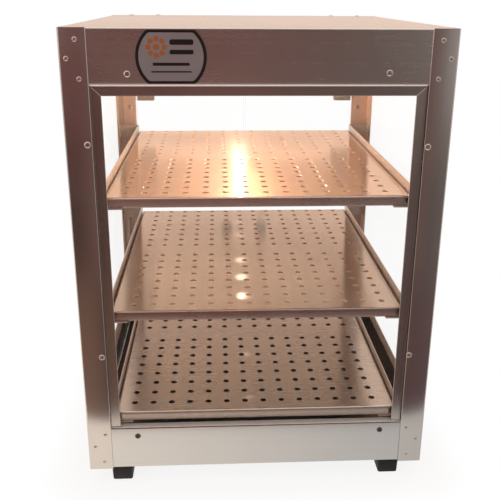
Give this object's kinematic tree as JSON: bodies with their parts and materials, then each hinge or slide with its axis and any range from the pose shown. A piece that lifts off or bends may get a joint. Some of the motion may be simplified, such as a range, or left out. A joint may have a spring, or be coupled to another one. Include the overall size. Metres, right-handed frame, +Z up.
{
  "type": "heated display case",
  "caption": "Countertop heated display case: glass on every side, perforated shelves on rails, warming lamp, base heater and pivoting glass doors at the rear.",
  "frame": {"origin": "centre of the bounding box's bottom face, on the counter; the rear knobs count in the footprint", "axes": "+Z up, front (glass and badge) towards -Y, rear doors and controls towards +Y, +X to the right as seen from the front"},
  "size_m": [0.4572, 0.4788, 0.6096],
  "materials": {
    "post_steel": "satin stainless, grain along the post",
    "roof_steel": "satin stainless",
    "panel_steel": "satin stainless, grain across",
    "trim_steel": "satin stainless",
    "shelf_steel": "satin stainless, perforated",
    "rail_steel": "satin stainless",
    "inside_steel": "mill finish",
    "hardware": "polished stainless",
    "clear_glass": "clear tempered",
    "bulb_glass": "clear, lit warm",
    "element_sheath": "heat darkened",
    "porcelain": "glazed porcelain",
    "black_plastic": "fine grain",
    "pilot_lens": "translucent amber",
    "foot_rubber": "matt",
    "badge_metal": "satin, printed border"
  },
  "bodies": {
    "case": {"front_left_post": "post_steel", "front_right_post": "post_steel", "rear_left_post": "post_steel", "rear_right_post": "post_steel", "roof_and_header": "roof_steel", "left_header": "panel_steel", "right_header": "panel_steel", "rear_control_panel": "panel_steel", "front_fascia": "panel_steel", "rear_fascia": "panel_steel", "left_base_panel": "panel_steel", "right_base_panel": "panel_steel", "left_trim": "trim_steel", "right_trim": "trim_steel", "top_trim": "trim_steel", "left_bottom_rail": "rail_steel", "right_bottom_rail": "rail_steel", "left_middle_rail": "rail_steel", "right_middle_rail": "rail_steel", "left_top_rail": "rail_steel", "right_top_rail": "rail_steel", "wiring_cover": "rail_steel", "ceiling_liner": "inside_steel", "base_floor": "inside_steel", "heat_shield": "inside_steel", "front_element_bracket": "inside_steel", "rear_element_bracket": "inside_steel", "left_upper_pivot_plate": "hardware", "left_lower_pivot_plate": "hardware", "right_upper_pivot_plate": "hardware", "right_lower_pivot_plate": "hardware", "front_glass": "clear_glass", "left_glass": "clear_glass", "right_glass": "clear_glass", "lamp_bulb": "bulb_glass", "heating_element": "element_sheath", "lamp_holder": "porcelain", "thermostat": "black_plastic", "switch_housing": "black_plastic", "power_inlet": "black_plastic", "door_catch": "black_plastic", "pilot_light": "pilot_lens", "front_left_foot": "foot_rubber", "front_right_foot": "foot_rubber", "rear_left_foot": "foot_rubber", "rear_right_foot": "foot_rubber", "badge_plate": "badge_metal"},
    "left_door": {"left_door_glass": "clear_glass", "left_upper_clamp": "hardware", "left_lower_clamp": "hardware", "left_door_knob": "hardware"},
    "right_door": {"right_door_glass": "clear_glass", "right_upper_clamp": "hardware", "right_lower_clamp": "hardware", "right_door_knob": "hardware"},
    "thermostat_dial": {"thermostat_knob": "black_plastic"},
    "rocker": {"power_rocker": "black_plastic"},
    "upper_shelf": {"top_shelf": "shelf_steel"},
    "centre_shelf": {"middle_shelf": "shelf_steel"},
    "lower_rack": {"bottom_rack": "shelf_steel"}
  },
  "joints": [
    {"name": "left_door_hinge", "type": "hinge", "parent": "case", "child": "left_door", "pos_m": [-0.1874, 0.21545, 0.0922], "axis": [0, 0, 1], "range_deg": [0, 105]},
    {"name": "right_door_hinge", "type": "hinge", "parent": "case", "child": "right_door", "pos_m": [0.1874, 0.21545, 0.0922], "axis": [0, 0, -1], "range_deg": [0, 105]},
    {"name": "thermostat_turn", "type": "hinge", "parent": "case", "child": "thermostat_dial", "pos_m": [0.132, 0.21585, 0.5474], "axis": [0, -1, 0], "range_deg": [0, 300]},
    {"name": "power_rock", "type": "hinge", "parent": "case", "child": "rocker", "pos_m": [0.052, 0.21585, 0.5474], "axis": [1, 0, 0], "range_deg": [0, 20]},
    {"name": "upper_shelf_lift", "type": "slide", "parent": "case", "child": "upper_shelf", "axis": [0, 0, 1], "range_m": [0, 0.06]},
    {"name": "centre_shelf_lift", "type": "slide", "parent": "case", "child": "centre_shelf", "axis": [0, 0, 1], "range_m": [0, 0.06]},
    {"name": "lower_rack_lift", "type": "slide", "parent": "case", "child": "lower_rack", "axis": [0, 0, 1], "range_m": [0, 0.06]}
  ]
}
